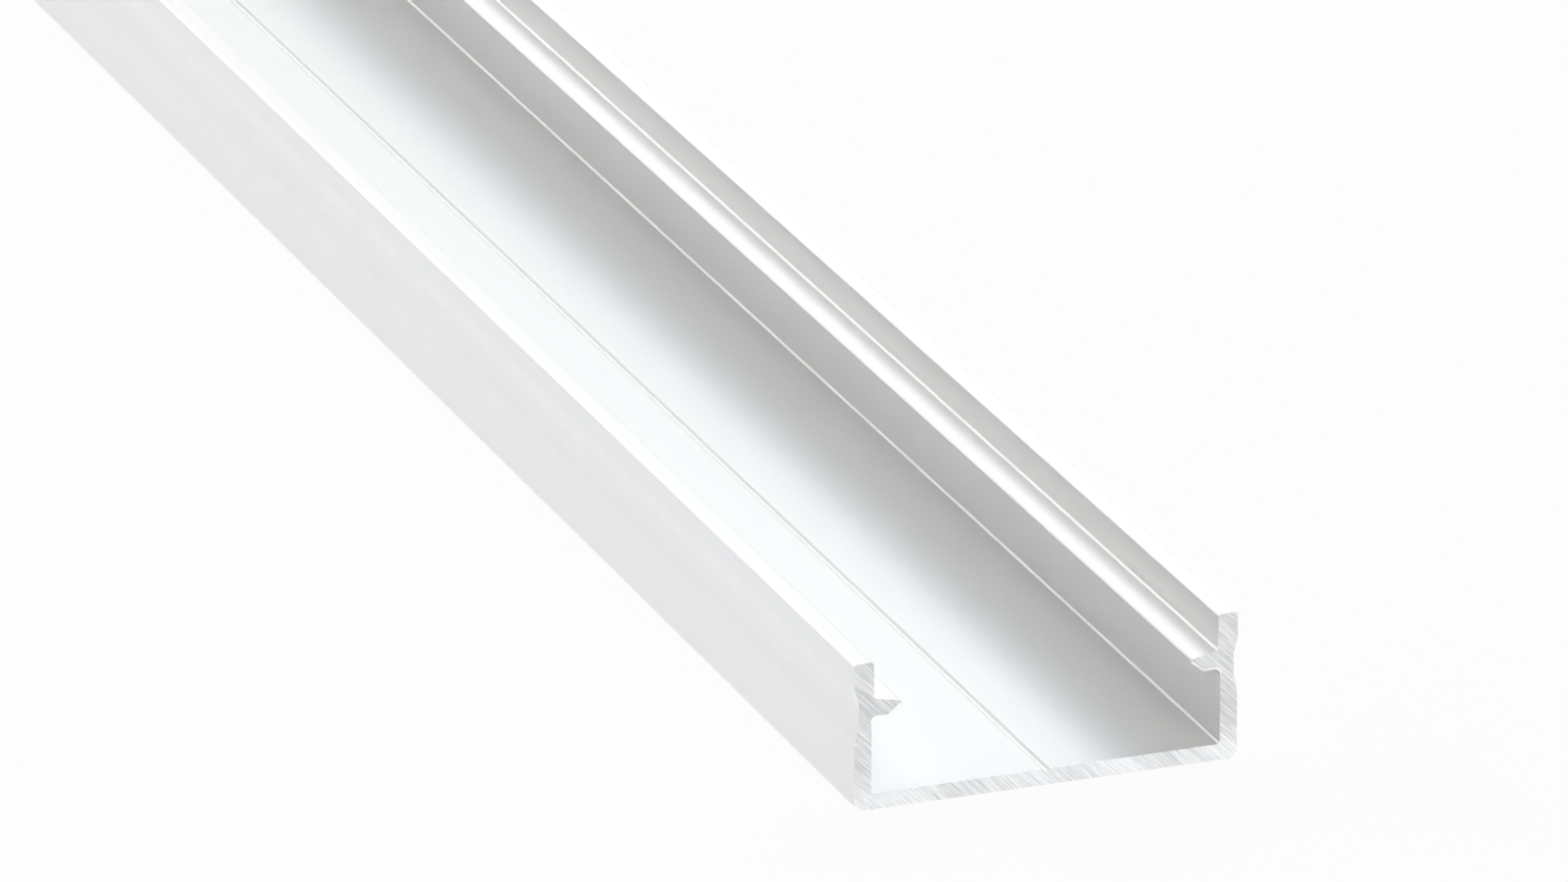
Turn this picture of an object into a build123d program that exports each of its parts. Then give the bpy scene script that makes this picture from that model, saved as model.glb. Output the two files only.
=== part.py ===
"""Surface profile for LED strip: a straight extruded channel that lies flat on a ceiling, wall or shelf.

Two strip lanes lie side by side on its floor, and a snap-in cover rests on the hooked lips above them.
The frame: X across the profile, Y along it, Z up from the mounting face, with the origin at the
bottom centre. Sizes are in millimetres, and both halves of the section are alike.
"""

import os
from math import atan2, hypot, radians, tan

from build123d import *

# Overall
length = 1000.0
width = 30.0
height = 11.55

# Walls
base_thickness = 1.33
lower_wall = 1.34
upper_wall = 1.53
foot_chamfer = 0.5
foot_edge_radius = 0.1
rim_radius = 0.25
floor_corner_radius = 0.2

# Rebate for the cover, and the hooked lip that carries and catches it
rebate_depth = 2.81
lip_reach = 2.41
lip_root = 1.47
lip_fall_angle = 12.0
catch_angle = 37.5
underside_angle = 2.5
tip_radius = 0.21
heel_radius = 0.12
lip_root_radius = 0.5
rebate_corner_radius = 0.2

# Grip recess along each outer face, where the mounting clips spring in
grip_drop = 1.34
grip_flat = 1.5
grip_flank = 1.25
grip_depth = 0.3
grip_blend = 2.0

# Drill guide line along the middle of the floor
guide_width = 0.6
guide_flat = 0.1
guide_depth = 0.17
guide_edge_radius = 0.06
guide_root_radius = 0.12

# Faces of the right half of the section
outer_x = width / 2
low_inner_x = outer_x - lower_wall
high_inner_x = outer_x - upper_wall
waist_x = outer_x - grip_depth
floor_z = base_thickness
guide_z = floor_z - guide_depth

# Lip: its top falls towards the tip, the catch runs back under it to the heel, and the underside
# rises again from the heel to the wall
seat_z = height - rebate_depth
tip_x = high_inner_x - lip_reach
tip_z = seat_z - lip_reach * tan(radians(lip_fall_angle))
underside_z = seat_z - lip_root
catch_slope = tan(radians(catch_angle))
underside_slope = tan(radians(underside_angle))
tip_over_underside = tip_z - underside_z + underside_slope * (low_inner_x - tip_x)
heel_x = tip_x + tip_over_underside / (catch_slope + underside_slope)
heel_z = tip_z - catch_slope * (heel_x - tip_x)

# Grip recess: centred a little below the seat of the lip
grip_middle_z = seat_z - grip_drop
waist_low_z = grip_middle_z - grip_flat / 2
waist_high_z = grip_middle_z + grip_flat / 2
flank_length = hypot(grip_flank, grip_depth)
flank_half_angle = atan2(grip_depth, grip_flank) / 2
longest_blend = 0.45 * min(flank_length, grip_flat) / tan(flank_half_angle)
blend_radius = min(grip_blend, longest_blend)

# Corners of the right half, from the foot round to the guide line, each with its radius
corners = [
    ((outer_x - foot_chamfer, 0), foot_edge_radius),
    ((outer_x, foot_chamfer), foot_edge_radius),
    ((outer_x, waist_low_z - grip_flank), blend_radius),
    ((waist_x, waist_low_z), blend_radius),
    ((waist_x, waist_high_z), blend_radius),
    ((outer_x, waist_high_z + grip_flank), blend_radius),
    ((outer_x, height), rim_radius),
    ((high_inner_x, height), rim_radius),
    ((high_inner_x, seat_z), rebate_corner_radius),
    ((tip_x, tip_z), tip_radius),
    ((heel_x, heel_z), heel_radius),
    ((low_inner_x, underside_z), lip_root_radius),
    ((low_inner_x, floor_z), floor_corner_radius),
    ((guide_width / 2, floor_z), guide_edge_radius),
    ((guide_flat / 2, guide_z), guide_root_radius),
]

with BuildPart() as profile:
    with BuildSketch(Plane.XZ):
        with BuildLine():
            FilletPolyline(
                (0, 0),
                *[point for point, radius in corners],
                (0, guide_z),
                radius=[radius for point, radius in corners],
            )
            mirror(about=Plane.YZ)
        make_face()
    extrude(amount=length / 2, both=True)

profile.part.label = "profile"

os.makedirs("parts", exist_ok=True)
export_step(profile.part, "parts/profile.step")
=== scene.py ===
"""Looks of the surface LED profile: a white powder-coated aluminium channel, sawn off square at both ends.

The channel is one extrusion, so it is one piece here too: Geometry Nodes sweep its section along Y.
Its section is given in millimetres, and MM turns them into metres.
"""

from math import cos, radians, sin, tan

import bpy
from mathutils import Matrix, Vector


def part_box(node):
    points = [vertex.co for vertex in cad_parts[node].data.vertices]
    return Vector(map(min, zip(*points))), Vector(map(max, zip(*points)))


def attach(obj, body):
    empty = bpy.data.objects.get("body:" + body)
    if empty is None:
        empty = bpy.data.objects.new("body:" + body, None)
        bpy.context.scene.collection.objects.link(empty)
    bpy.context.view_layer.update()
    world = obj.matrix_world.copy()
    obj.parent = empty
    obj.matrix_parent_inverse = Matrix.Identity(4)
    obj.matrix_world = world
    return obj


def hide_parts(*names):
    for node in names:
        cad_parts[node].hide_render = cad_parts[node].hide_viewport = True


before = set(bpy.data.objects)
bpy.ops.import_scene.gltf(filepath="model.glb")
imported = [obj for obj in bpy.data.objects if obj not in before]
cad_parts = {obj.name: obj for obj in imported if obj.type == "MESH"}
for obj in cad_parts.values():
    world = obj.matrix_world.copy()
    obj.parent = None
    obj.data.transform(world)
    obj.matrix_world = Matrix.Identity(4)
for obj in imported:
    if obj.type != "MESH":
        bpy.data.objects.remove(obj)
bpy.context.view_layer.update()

MM = 0.001

# Section of the channel, as in the solid. Its width, height and length come from the frame.
BASE_THICKNESS = 1.33
LOWER_WALL = 1.34
UPPER_WALL = 1.53
FOOT_CHAMFER = 0.5
FOOT_EDGE_RADIUS = 0.1
RIM_RADIUS = 0.25
FLOOR_CORNER_RADIUS = 0.2

# Rebate for the cover, and the hooked lip that carries and catches it
REBATE_DEPTH = 2.81
LIP_REACH = 2.41
LIP_ROOT = 1.47
LIP_FALL = radians(12.0)
CATCH_ANGLE = radians(37.5)
UNDERSIDE_ANGLE = radians(2.5)
TIP_RADIUS = 0.21
HEEL_RADIUS = 0.12
LIP_ROOT_RADIUS = 0.5
REBATE_CORNER_RADIUS = 0.2

# Grip recess along each outer face
GRIP_DROP = 1.34
GRIP_FLAT = 1.5
GRIP_FLANK = 1.25
GRIP_DEPTH = 0.3
GRIP_BLEND = 2.0

# Drill guide line along the middle of the floor
GUIDE_WIDTH = 0.6
GUIDE_FLAT = 0.1
GUIDE_DEPTH = 0.17
GUIDE_EDGE_RADIUS = 0.06
GUIDE_ROOT_RADIUS = 0.12

# Sweep: facets of each rounded corner, and rings along the channel, two at either end
CORNER_FACETS = 8
RINGS = 4

# Sawn ends: their edges are crisp, but for a bright bevel on those under the metal, where the saw comes out.
# Its slope is how far it runs back for its width. It is full on a surface that faces down by FULL_BEVEL_FALL
# (0 is upright, 1 is straight down), and it takes at most BEVEL_SHARE of a rounded corner's radius.
CRISP_EDGE = 0.01
BEVEL_WIDTH = 0.15
BEVEL_SLOPE = 0.4
BEVEL_SHARE = 0.9
FULL_BEVEL_FALL = 0.5

# What a face is made of, by how much it looks along the channel (0 not at all, 1 straight): bare metal from
# the first value on, and the flat sawn face from the second. A bevel is bright if it is wider than this many
# crisp edges.
BARE_FACING = 0.01
FLAT_FACING = 0.999
BRIGHT_FROM = 2

# Powder coat: the tones that it drifts between, the scales of its drift and relief, and its gloss
COAT_DARK = (0.855, 0.855, 0.855, 1)
COAT_LIGHT = (0.865, 0.865, 0.865, 1)
COAT_DRIFT_SCALE = 60.0
COAT_RELIEF_SCALE = 900.0
COAT_RELIEF_HEIGHT = 0.02 * MM
COAT_RELIEF_STRENGTH = 0.02
COAT_ROUGHNESS = 0.23
COAT_RELIEF_ROUGHNESS = 0.04
COAT_IOR = 1.5

# Pools of powder in the inner corners: their tone, which is a painted highlight along each corner line, how
# much smoother they are, and the film of gloss on them
POOL_PAINTED_HIGHLIGHT_TONE = (0.92, 0.92, 0.92, 1)
POOL_SMOOTHING = 0.13
POOL_FILM = 0.4
POOL_FILM_ROUGHNESS = 0.1

# Each pool, with its painted highlight, is full up to its first distance from the corner and gone at the
# second, both in mm. The third value is its strength. The guide line's pool lies this far off the middle, on
# both sides.
FLOOR_CORNER_POOL_AND_PAINTED_HIGHLIGHT = (0.12, 0.24, 1.0)
REBATE_CORNER_POOL_AND_PAINTED_HIGHLIGHT = (0.12, 0.24, 0.5)
GUIDE_ROOT_POOL_AND_PAINTED_HIGHLIGHT = (0.02, 0.06, 0.85)
GUIDE_ROOT_POOL_AND_PAINTED_HIGHLIGHT_X = 0.02

# Sawn aluminium: marks by width and run in mm and by detail, each kind with its weight in the tone. Without
# them the tone lies this far from the dark one to the light one.
MARK_ANGLE = radians(45)
LONG_MARKS, LONG_WEIGHT = (0.14, 12.0, 2.0), 1.65
SHORT_MARKS, SHORT_WEIGHT = (0.13, 1.7, 2.0), 1.4
BANDS, BAND_WEIGHT = (3.0, 20.0, 0.0), 0.8
PLAIN_TONE = 0.3
SAWN_DARK = (0.632, 0.64, 0.648, 1)
SAWN_LIGHT = (0.975, 0.988, 1.0, 1)
SAWN_ROUGHNESS = 0.5
MARK_HEIGHT = 0.02 * MM
MARK_STRENGTH = 0.2

# The sawn face is lighter near its foot, a painted reflection of the bright floor: up to the first height in
# full, and fading out up to the second
FOOT_PAINTED_REFLECTION = 0.39
FOOT_FADE_START = 0.8
FOOT_FADE_END = 3.5

# Metal that the saw has burnished
BRIGHT_TONE = (0.98, 0.985, 0.99, 1)
BRIGHT_ROUGHNESS = 0.12

# Camera: a long lens from the front left, set by where the photograph shows the near foot's middle
LENS = 333.61
SENSOR_WIDTH = 36.0
CAMERA_TURN = radians(20.748)
CAMERA_DIP = radians(20.696)
IMAGE_WIDTH = 1600
IMAGE_HEIGHT = 900
NEAR_FOOT_PIXEL = (1067.54, 801.62)
NEAR_FOOT_DEPTH = 1059.95 * MM
CLIP_START = 0.05
CLIP_END = 200.0

# Floor and room
FLOOR_HALF = 60.0
FLOOR_COLOUR = (0.92, 0.92, 0.92, 1)
FLOOR_GLOW = 1.0
FLOOR_GLOW_SHARE = 0.95
WHITE = (1, 1, 1, 1)

# Far lamps: turn from +Y towards +X and height above the floor, both in degrees, then the spread of each
# lamp's disc in degrees, its strength and its tint
LAMPS = {
    "left": (270, 0.25, 0.5, 1.06, (0.92, 0.95, 1.0)),
    "back_left": (330, 12, 30, 1.44, (1.0, 0.95, 0.92)),
    "back": (0, 35, 30, 1.06, (0.99, 1.0, 1.0)),
    "back_right": (30, 35, 30, 0.73, (0.85, 0.96, 1.0)),
    "low_back_right": (30, 12, 30, 0.38, (1.0, 0.90, 0.85)),
    "high_right": (60, 60, 30, 0.26, (0.74, 0.90, 1.0)),
    "front": (180, 50, 60, 0.68, (0.97, 1.0, 0.99)),
}


class Socket:
    """One output in a node tree. Arithmetic on it adds Math nodes, so a mask reads as an expression."""

    def __init__(self, tree, output):
        self.tree = tree
        self.output = output

    def math(self, operation, *values):
        return self.tree.add("ShaderNodeMath", {"operation": operation}, dict(enumerate(values)))

    def at_most(self, limit):
        return self.math("MINIMUM", self, limit)

    def at_least(self, limit):
        return self.math("MAXIMUM", self, limit)

    def size(self):
        return self.math("ABSOLUTE", self)

    def __add__(self, other):
        return self.math("ADD", self, other)

    def __radd__(self, other):
        return self.math("ADD", other, self)

    def __sub__(self, other):
        return self.math("SUBTRACT", self, other)

    def __rsub__(self, other):
        return self.math("SUBTRACT", other, self)

    def __mul__(self, other):
        return self.math("MULTIPLY", self, other)

    def __rmul__(self, other):
        return self.math("MULTIPLY", other, self)

    def __truediv__(self, other):
        return self.math("DIVIDE", self, other)

    def __gt__(self, other):
        return self.math("GREATER_THAN", self, other)


class Tree:
    """A node tree being written, of a material, the world or Geometry Nodes."""

    def __init__(self, nodes):
        self.nodes = nodes

    def add(self, kind, settings=None, sockets=None, out=0):
        """Adds a node: its settings first, then its sockets' values or links. Returns one output."""
        node = self.nodes.nodes.new(kind)
        for name, value in (settings or {}).items():
            setattr(node, name, value)
        for name, value in (sockets or {}).items():
            if isinstance(value, Socket):
                self.nodes.links.new(value.output, node.inputs[name])
            else:
                node.inputs[name].default_value = value
        return Socket(self, node.outputs[out]) if len(node.outputs) else None

    def axis(self, vector, name):
        """One of a vector's three numbers, by its letter."""
        return self.add("ShaderNodeSeparateXYZ", sockets={"Vector": vector}, out=name)

    def vector_math(self, operation, first, second):
        """A vector sum, product or scaling, or the distance between two points."""
        second_input = "Scale" if operation == "SCALE" else 1
        sockets = {0: first, second_input: second}
        out = "Value" if operation == "DISTANCE" else "Vector"
        return self.add("ShaderNodeVectorMath", {"operation": operation}, sockets, out)

    def fade(self, value, start, end, strength=1.0):
        """The strength up to the start, and from there smoothly down to 0 at the end."""
        return self.add(
            "ShaderNodeMapRange",
            {"interpolation_type": "SMOOTHSTEP"},
            {"Value": value, "From Min": start, "From Max": end, "To Min": strength, "To Max": 0.0},
        )

    def blend(self, factor, first, second):
        """A colour on the way from the first to the second."""
        sockets = {"Factor": factor, "A": first, "B": second}
        return self.add("ShaderNodeMix", {"data_type": "RGBA"}, sockets, out=2)

    def noise(self, vector, scale, detail=2.0):
        return self.add("ShaderNodeTexNoise", sockets={"Vector": vector, "Scale": scale, "Detail": detail})

    def bump(self, strength, distance, height):
        sockets = {"Strength": strength, "Distance": distance, "Height": height}
        return self.add("ShaderNodeBump", sockets=sockets)

    def surface(self, shader):
        self.add("ShaderNodeOutputMaterial", sockets={"Surface": shader})


class SweepTree(Tree):
    """The Geometry Nodes tree that sweeps the section, with its named inputs and stored attributes."""

    WANTED = {
        "Section": "NodeSocketGeometry",
        "Length": "NodeSocketFloat",
        "Crisp Edge": "NodeSocketFloat",
        "Bevel Width": "NodeSocketFloat",
        "Bevel Slope": "NodeSocketFloat",
        "Corner Facets": "NodeSocketInt",
        "Skin": "NodeSocketMaterial",
        "Sawn Face": "NodeSocketMaterial",
        "Bevel": "NodeSocketMaterial",
    }

    def __init__(self):
        group = bpy.data.node_groups.new("channel_sweep", "GeometryNodeTree")
        super().__init__(group)
        for name, kind in self.WANTED.items():
            group.interface.new_socket(name, in_out="INPUT", socket_type=kind)
        group.interface.new_socket("Channel", in_out="OUTPUT", socket_type="NodeSocketGeometry")
        given = group.nodes.new("NodeGroupInput")
        self.inputs = {name: Socket(self, given.outputs[name]) for name in self.WANTED}

    def recall(self, name, kind="FLOAT"):
        return self.add("GeometryNodeInputNamedAttribute", {"data_type": kind}, {"Name": name})

    def store(self, geometry, name, value, kind="FLOAT"):
        settings = {"data_type": kind, "domain": "POINT"}
        sockets = {"Geometry": geometry, "Name": name, "Value": value}
        return self.add("GeometryNodeStoreNamedAttribute", settings, sockets)


def half_section(width, height):
    """Corners of the section's right half in mm, from the foot round to the guide line, with their radii."""
    outer_x = width / 2
    low_inner_x = outer_x - LOWER_WALL
    high_inner_x = outer_x - UPPER_WALL
    waist_x = outer_x - GRIP_DEPTH
    floor_z = BASE_THICKNESS
    seat_z = height - REBATE_DEPTH
    tip_x = high_inner_x - LIP_REACH
    tip_z = seat_z - LIP_REACH * tan(LIP_FALL)
    underside_z = seat_z - LIP_ROOT
    tip_over_underside = tip_z - underside_z + tan(UNDERSIDE_ANGLE) * (low_inner_x - tip_x)
    heel_x = tip_x + tip_over_underside / (tan(CATCH_ANGLE) + tan(UNDERSIDE_ANGLE))
    heel_z = tip_z - tan(CATCH_ANGLE) * (heel_x - tip_x)
    waist_low_z = seat_z - GRIP_DROP - GRIP_FLAT / 2
    waist_high_z = seat_z - GRIP_DROP + GRIP_FLAT / 2
    return [
        ((outer_x - FOOT_CHAMFER, 0), FOOT_EDGE_RADIUS),
        ((outer_x, FOOT_CHAMFER), FOOT_EDGE_RADIUS),
        ((outer_x, waist_low_z - GRIP_FLANK), GRIP_BLEND),
        ((waist_x, waist_low_z), GRIP_BLEND),
        ((waist_x, waist_high_z), GRIP_BLEND),
        ((outer_x, waist_high_z + GRIP_FLANK), GRIP_BLEND),
        ((outer_x, height), RIM_RADIUS),
        ((high_inner_x, height), RIM_RADIUS),
        ((high_inner_x, seat_z), REBATE_CORNER_RADIUS),
        ((tip_x, tip_z), TIP_RADIUS),
        ((heel_x, heel_z), HEEL_RADIUS),
        ((low_inner_x, underside_z), LIP_ROOT_RADIUS),
        ((low_inner_x, floor_z), FLOOR_CORNER_RADIUS),
        ((GUIDE_WIDTH / 2, floor_z), GUIDE_EDGE_RADIUS),
        ((GUIDE_FLAT / 2, floor_z - GUIDE_DEPTH), GUIDE_ROOT_RADIUS),
    ]


def section_drawing(width, height):
    """The whole section as a closed loop of edges across X and Z, with each corner's radius on its point."""
    right = half_section(width, height)
    left = [((-x, z), radius) for (x, z), radius in reversed(right)]
    corners = right + left
    mesh = bpy.data.meshes.new("channel_section")
    points = [(x * MM, 0, z * MM) for (x, z), radius in corners]
    edges = [(i, (i + 1) % len(corners)) for i in range(len(corners))]
    mesh.from_pydata(points, edges, [])
    radii = mesh.attributes.new("sweep_radius", "FLOAT", "POINT")
    radii.data.foreach_set("value", [radius * MM for point, radius in corners])
    return mesh


def rounded_outline(tree):
    """The section with its corners rounded. Each point stores its place, the way inward and its bevel."""
    loop = tree.add("GeometryNodeMeshToCurve", sockets={"Mesh": tree.inputs["Section"]})
    radius = tree.recall("sweep_radius")
    facets = tree.inputs["Corner Facets"]
    outline = tree.add(
        "GeometryNodeFilletCurve",
        {"mode": "POLY"},
        {"Curve": loop, "Count": facets, "Radius": radius, "Limit Radius": True},
    )
    inward = tree.vector_math("CROSS_PRODUCT", tree.add("GeometryNodeInputTangent"), (0, 1, 0))
    outline = tree.store(outline, "sweep_place", tree.add("GeometryNodeInputPosition"), "FLOAT_VECTOR")
    outline = tree.store(outline, "sweep_inward", inward, "FLOAT_VECTOR")
    faces_down = tree.axis(inward, "Z").at_least(0.0)
    bevel = tree.inputs["Bevel Width"] * (faces_down / FULL_BEVEL_FALL).at_most(1.0)
    bevel = bevel.at_most(BEVEL_SHARE * radius)
    return tree.store(outline, "sweep_bevel", bevel.at_least(tree.inputs["Crisp Edge"]))


def swept_channel(tree, outline):
    """The closed channel. Either end has two rings: the sawn face's edge, and the skin's just behind it."""
    line = tree.add("GeometryNodeCurvePrimitiveLine", sockets={"Start": (0, -1, 0), "End": (0, 1, 0)})
    path = tree.add("GeometryNodeResampleCurve", sockets={"Curve": line, "Count": RINGS})
    path = tree.store(path, "sweep_ring", tree.add("GeometryNodeInputIndex"))
    sweep = tree.add(
        "GeometryNodeCurveToMesh", sockets={"Curve": path, "Profile Curve": outline, "Fill Caps": True}
    )
    last_ring = RINGS - 1
    ring = tree.recall("sweep_ring")
    far_side = ring > last_ring / 2
    on_skin = ring.at_most(last_ring - ring)
    bevel = tree.recall("sweep_bevel")
    cut_in = bevel * (1 - on_skin)
    set_back = bevel * tree.inputs["Bevel Slope"] * on_skin
    along = (tree.inputs["Length"] / 2 - set_back) * (2 * far_side - 1)
    shift = tree.vector_math("SCALE", tree.recall("sweep_inward", "FLOAT_VECTOR"), cut_in)
    place = tree.vector_math("ADD", tree.recall("sweep_place", "FLOAT_VECTOR"), shift)
    place = tree.vector_math("ADD", place, tree.add("ShaderNodeCombineXYZ", sockets={"Y": along}))
    channel = tree.add("GeometryNodeSetPosition", sockets={"Geometry": sweep, "Position": place})
    return tree.add("GeometryNodeFlipFaces", sockets={"Mesh": channel})


def faced_channel(tree, channel):
    """The channel smooth along its skin and crisp at its cuts, with bare metal on them and skin elsewhere."""
    facing = tree.axis(tree.add("GeometryNodeInputNormal"), "Y").size()
    sawn = facing > BARE_FACING
    flat = facing > FLAT_FACING
    bright = sawn * (1 - flat) * (tree.recall("sweep_bevel") > BRIGHT_FROM * tree.inputs["Crisp Edge"])
    channel = tree.add("GeometryNodeSetShadeSmooth", sockets={"Geometry": channel, "Shade Smooth": 1 - flat})
    paint_edge = tree.add("GeometryNodeMeshFaceSetBoundaries", sockets={"Face Group ID": sawn})
    channel = tree.add(
        "GeometryNodeSetShadeSmooth",
        {"domain": "EDGE"},
        {"Geometry": channel, "Selection": paint_edge, "Shade Smooth": False},
    )
    channel = tree.add("GeometryNodeRealizeInstances", sockets={"Geometry": channel})
    for metal, where in (("Skin", 1), ("Sawn Face", sawn), ("Bevel", bright)):
        sockets = {"Geometry": channel, "Selection": where, "Material": tree.inputs[metal]}
        channel = tree.add("GeometryNodeSetMaterial", sockets=sockets)
    return channel


def plain_mesh(working, name):
    """The evaluated result of a working object's modifiers as a piece of its own, and the worker removed."""
    bpy.context.view_layer.update()
    evaluated = working.evaluated_get(bpy.context.evaluated_depsgraph_get())
    mesh = bpy.data.meshes.new_from_object(evaluated)
    mesh.name = name
    for helper in [attribute.name for attribute in mesh.attributes if attribute.name.startswith("sweep_")]:
        mesh.attributes.remove(mesh.attributes[helper])
    working.modifiers.clear()
    bpy.data.objects.remove(working)
    piece = bpy.data.objects.new(name, mesh)
    bpy.context.scene.collection.objects.link(piece)
    return piece


def make_channel(width, length, height, skin, sawn_face, bevel):
    """The channel at the size of its solid, with exact flat faces between finely rounded corners."""
    working = bpy.data.objects.new("channel_work", section_drawing(width, height))
    bpy.context.scene.collection.objects.link(working)
    tree = SweepTree()
    channel = faced_channel(tree, swept_channel(tree, rounded_outline(tree)))
    tree.add("NodeGroupOutput", sockets={"Channel": channel})
    sweep = working.modifiers.new("sweep", "NODES")
    sweep.node_group = tree.nodes
    values = {
        "Length": length * MM,
        "Crisp Edge": CRISP_EDGE * MM,
        "Bevel Width": BEVEL_WIDTH * MM,
        "Bevel Slope": BEVEL_SLOPE,
        "Corner Facets": CORNER_FACETS,
        "Skin": skin,
        "Sawn Face": sawn_face,
        "Bevel": bevel,
    }
    for item in sweep.node_group.interface.items_tree:
        if item.name in values:
            sweep[item.identifier] = values[item.name]
    weights = working.modifiers.new("flat_faces_stay_flat", "WEIGHTED_NORMAL")
    weights.keep_sharp = True
    return plain_mesh(working, "channel")


def new_material(name):
    material = bpy.data.materials.new(name)
    material.use_nodes = True
    material.node_tree.nodes.clear()
    return material, Tree(material.node_tree)


def coat_pools_and_painted_highlights(width, height):
    """Where the powder flows together, with a painted highlight, on the right half of the section: each place
    in mm with its pool.
    """
    outer_x = width / 2
    return [
        ((outer_x - LOWER_WALL, 0, BASE_THICKNESS), FLOOR_CORNER_POOL_AND_PAINTED_HIGHLIGHT),
        ((outer_x - UPPER_WALL, 0, height - REBATE_DEPTH), REBATE_CORNER_POOL_AND_PAINTED_HIGHLIGHT),
        ((GUIDE_ROOT_POOL_AND_PAINTED_HIGHLIGHT_X, 0, BASE_THICKNESS - GUIDE_DEPTH), GUIDE_ROOT_POOL_AND_PAINTED_HIGHLIGHT),
    ]


def semi_gloss_white_powder_coat(pool_and_highlight_places):
    """Semi-gloss white powder coat with a faint relief, smoother where the powder gathers in a corner, and
    whiter there as a painted highlight.
    """
    material, tree = new_material("semi_gloss_white_powder_coat")
    place = tree.add("ShaderNodeTexCoord", out="Object")
    relief = tree.noise(place, COAT_RELIEF_SCALE)
    drift = tree.noise(place, COAT_DRIFT_SCALE)
    on_right_half = tree.add(
        "ShaderNodeCombineXYZ", sockets={"X": tree.axis(place, "X").size(), "Z": tree.axis(place, "Z")}
    )
    pool_and_highlight = 0
    for corner, (thins, ends, strength) in pool_and_highlight_places:
        from_corner = tree.vector_math("DISTANCE", on_right_half, Vector(corner) * MM)
        pool_and_highlight = pool_and_highlight + tree.fade(from_corner, thins * MM, ends * MM, strength)
    sockets = {
        # Whiter in the inner corners: a painted highlight along the corner lines. The smoother coat and its
        # film there are real gloss.
        "Base Color": tree.blend(pool_and_highlight, tree.blend(drift, COAT_DARK, COAT_LIGHT), POOL_PAINTED_HIGHLIGHT_TONE),
        "Roughness": COAT_ROUGHNESS + COAT_RELIEF_ROUGHNESS * relief - POOL_SMOOTHING * pool_and_highlight,
        "IOR": COAT_IOR,
        "Normal": tree.bump(COAT_RELIEF_STRENGTH, COAT_RELIEF_HEIGHT, relief),
        "Coat Weight": POOL_FILM * pool_and_highlight,
        "Coat Roughness": POOL_FILM_ROUGHNESS,
    }
    tree.surface(tree.add("ShaderNodeBsdfPrincipled", sockets=sockets))
    return material


def sawn_aluminium():
    """Bare aluminium as the saw left it: fine straight marks across the section at 45 degrees, and a painted
    reflection of the floor that makes it lighter near its foot.
    """
    material, tree = new_material("sawn_aluminium")
    place = tree.add("ShaderNodeTexCoord", out="Object")
    x, z = tree.axis(place, "X"), tree.axis(place, "Z")
    across = x * sin(MARK_ANGLE) + z * cos(MARK_ANGLE)
    along = x * cos(MARK_ANGLE) - z * sin(MARK_ANGLE)

    def marks(width, run, detail):
        """Noise around 0, drawn out along the marks: the width and run of one mark are in mm."""
        sockets = {"X": across / (width * MM), "Y": along / (run * MM)}
        return tree.noise(tree.add("ShaderNodeCombineXYZ", sockets=sockets), 1.0, detail) - 0.5

    long_marks = marks(*LONG_MARKS)
    # Painted reflection of the bright floor: the sawn face is lighter near its foot.
    near_foot = tree.fade(z, FOOT_FADE_START * MM, FOOT_FADE_END * MM)
    tone = PLAIN_TONE + FOOT_PAINTED_REFLECTION * near_foot
    tone = tone + LONG_WEIGHT * long_marks + SHORT_WEIGHT * marks(*SHORT_MARKS) + BAND_WEIGHT * marks(*BANDS)
    sockets = {
        "Base Color": tree.blend(tone, SAWN_DARK, SAWN_LIGHT),
        "Metallic": 1.0,
        "Roughness": SAWN_ROUGHNESS,
        "Normal": tree.bump(MARK_STRENGTH, MARK_HEIGHT, long_marks),
    }
    tree.surface(tree.add("ShaderNodeBsdfPrincipled", sockets=sockets))
    return material


def bright_bevel():
    """Bare metal that the saw has burnished along the undersides, where it comes out."""
    material, tree = new_material("bright_bevel")
    sockets = {"Base Color": BRIGHT_TONE, "Metallic": 1.0, "Roughness": BRIGHT_ROUGHNESS}
    tree.surface(tree.add("ShaderNodeBsdfPrincipled", sockets=sockets))
    return material


def place_camera(near_foot):
    """A camera that shows the near foot's middle at its pixel in the photograph, from the same side."""
    forward = Vector(
        (sin(CAMERA_TURN) * cos(CAMERA_DIP), cos(CAMERA_TURN) * cos(CAMERA_DIP), -sin(CAMERA_DIP))
    )
    right = Vector((cos(CAMERA_TURN), -sin(CAMERA_TURN), 0))
    up = right.cross(forward)
    across, down = NEAR_FOOT_PIXEL
    per_pixel = NEAR_FOOT_DEPTH * SENSOR_WIDTH / LENS / IMAGE_WIDTH
    offset = right * (across - IMAGE_WIDTH / 2) * per_pixel + up * (IMAGE_HEIGHT / 2 - down) * per_pixel
    data = bpy.data.cameras.new("camera")
    data.lens = LENS
    data.sensor_width = SENSOR_WIDTH
    data.clip_start = CLIP_START
    data.clip_end = CLIP_END
    camera = bpy.data.objects.new("camera", data)
    place = Matrix.Translation(near_foot - forward * NEAR_FOOT_DEPTH - offset)
    camera.matrix_world = place @ Matrix((right, up, -forward)).transposed().to_4x4()
    bpy.context.scene.collection.objects.link(camera)
    bpy.context.scene.camera = camera


def seen_directly(tree):
    """1 where the camera, a mirror reflection or a look through glass meets the surface, else 0."""
    camera = tree.add("ShaderNodeLightPath", out="Is Camera Ray")
    glossy = tree.add("ShaderNodeLightPath", out="Is Glossy Ray")
    through = tree.add("ShaderNodeLightPath", out="Is Transmission Ray")
    return (camera + glossy + through).at_most(1.0)


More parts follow.
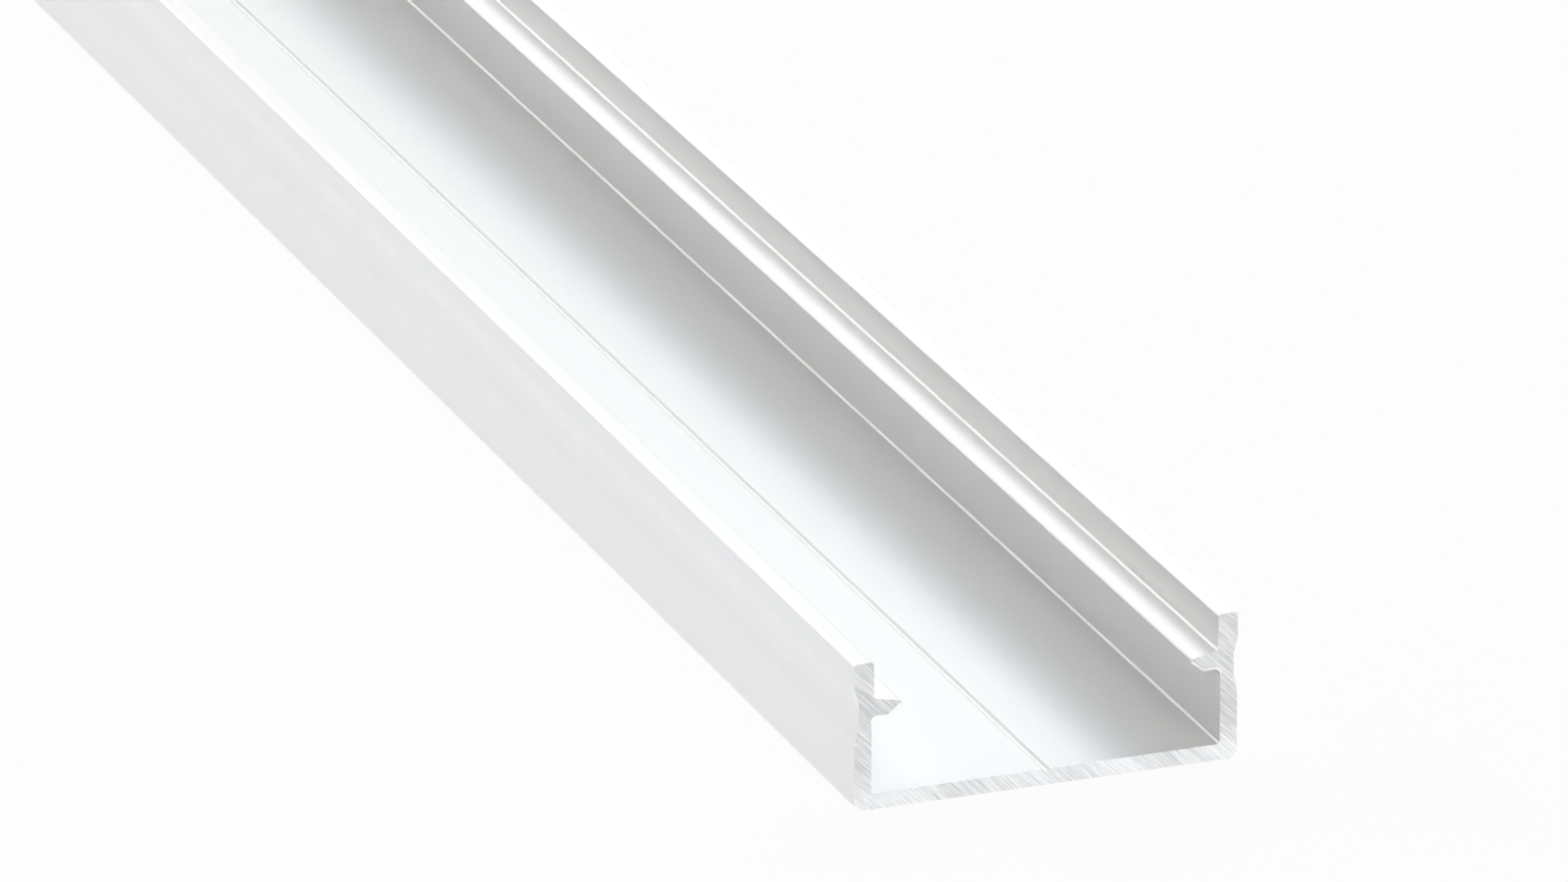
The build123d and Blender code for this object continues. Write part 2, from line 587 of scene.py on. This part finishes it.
def pale_floor():
    """A wide white floor with a soft shadow. Part of its look is glow, so it is as white as the backdrop."""
    material, tree = new_material("pale_floor")
    plain = tree.add("ShaderNodeBsdfDiffuse", sockets={"Color": FLOOR_COLOUR})
    glow = tree.add("ShaderNodeEmission", sockets={"Color": WHITE, "Strength": FLOOR_GLOW})
    share = FLOOR_GLOW_SHARE * seen_directly(tree)
    tree.surface(tree.add("ShaderNodeMixShader", sockets={0: share, 1: plain, 2: glow}))
    mesh = bpy.data.meshes.new("floor")
    corners = [(-FLOOR_HALF, -FLOOR_HALF, 0), (FLOOR_HALF, -FLOOR_HALF, 0)]
    corners += [(FLOOR_HALF, FLOOR_HALF, 0), (-FLOOR_HALF, FLOOR_HALF, 0)]
    mesh.from_pydata(corners, [], [(0, 1, 2, 3)])
    mesh.materials.append(material)
    floor = bpy.data.objects.new("floor", mesh)
    bpy.context.scene.collection.objects.link(floor)


def studio_world():
    """A backdrop that is white where it is seen or mirrored. The lamps alone light the object."""
    world = bpy.data.worlds.new("studio")
    world.use_nodes = True
    world.node_tree.nodes.clear()
    tree = Tree(world.node_tree)
    white = tree.add("ShaderNodeBackground", sockets={"Color": WHITE, "Strength": seen_directly(tree)})
    tree.add("ShaderNodeOutputWorld", sockets={"Surface": white})
    bpy.context.scene.world = world


def far_lamp(name, turn, height, spread, strength, tint):
    """A far lamp, as a disc of the given spread that shines from its turn and height."""
    data = bpy.data.lights.new(name, "SUN")
    data.energy = strength
    data.color = tint
    data.angle = radians(spread)
    lamp = bpy.data.objects.new(name, data)
    turn, height = radians(turn), radians(height)
    towards = Vector((sin(turn) * cos(height), cos(turn) * cos(height), sin(height)))
    lamp.rotation_euler = towards.to_track_quat("Z", "Y").to_euler()
    bpy.context.scene.collection.objects.link(lamp)


def main():
    bpy.context.scene.view_settings.view_transform = "Standard"
    low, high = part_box("profile")
    width, length, height = (high - low) / MM
    coat = semi_gloss_white_powder_coat(coat_pools_and_painted_highlights(width, height))
    channel = make_channel(width, length, height, coat, sawn_aluminium(), bright_bevel())
    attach(channel, "root")
    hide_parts("profile")
    place_camera(Vector(((low.x + high.x) / 2, low.y, low.z)))
    pale_floor()
    studio_world()
    for name, lamp in LAMPS.items():
        far_lamp(name, *lamp)


main()
